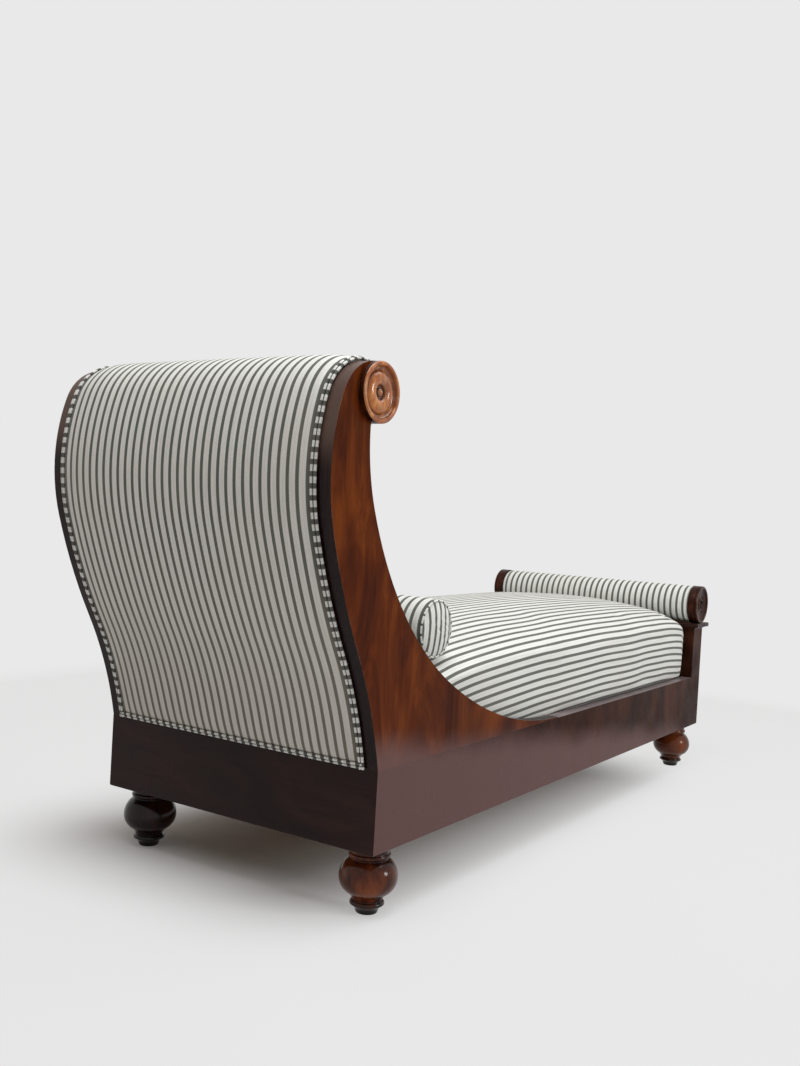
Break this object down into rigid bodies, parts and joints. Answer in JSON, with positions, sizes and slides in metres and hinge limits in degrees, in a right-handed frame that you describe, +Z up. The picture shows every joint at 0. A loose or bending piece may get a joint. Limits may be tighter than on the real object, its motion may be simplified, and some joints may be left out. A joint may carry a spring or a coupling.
{
  "type": "recamier",
  "caption": "Scroll-end daybed with an upholstered S-shaped back, crowned seat, loose bolster and low foot roll on turned feet.",
  "frame": {"origin": "centre of the bounding box's bottom face, on the floor", "axes": "+X from the head end to the foot end, +Z up; the near side that the picture shows faces -Y"},
  "size_m": [1.996, 0.71, 1.0026],
  "materials": {
    "mahogany": "french polished veneer",
    "turned_mahogany": "polished turning",
    "beech": "plain frame timber",
    "ticking": "striped cotton ticking",
    "webbing": "jute webbing",
    "hessian": "woven hessian"
  },
  "bodies": {
    "root": {"back_lower_rail": "beech", "back_middle_rail": "beech", "back_upper_rail": "beech", "bun_feet": "mahogany", "far_back_batten": "beech", "far_foot_corner_block": "beech", "far_foot_post": "mahogany", "far_head_corner_block": "beech", "far_scroll_panel": "mahogany", "far_seat_cleat": "beech", "far_side_rail": "mahogany", "foot_board": "beech", "foot_cap_moulding": "mahogany", "foot_cap_rail": "mahogany", "foot_rail": "mahogany", "foot_roll_core": "beech", "foot_roll_cradle": "beech", "foot_roll_pad": "ticking", "head_apron": "mahogany", "inner_back_pad": "ticking", "inner_back_webbing": "webbing", "near_back_batten": "beech", "near_foot_corner_block": "beech", "near_foot_post": "mahogany", "near_head_corner_block": "beech", "near_scroll_panel": "mahogany", "near_seat_cleat": "beech", "near_side_rail": "mahogany", "outer_back_cover": "ticking", "roll_caps": "turned_mahogany", "scroll_rosettes": "turned_mahogany", "seat_frame_cross_member_1": "beech", "seat_frame_cross_member_2": "beech", "seat_frame_far_member": "beech", "seat_frame_foot_member": "beech", "seat_frame_head_member": "beech", "seat_frame_near_member": "beech", "seat_hessian": "hessian", "seat_pad": "ticking", "seat_webbing_crosswise": "webbing", "seat_webbing_lengthwise": "webbing", "top_roller": "beech"},
    "bolster": {"bolster": "ticking"}
  },
  "joints": [
    {"name": "bolster_lift", "type": "slide", "parent": "root", "child": "bolster", "axis": [0, 0, 1], "range_m": [0, 0.3]}
  ]
}
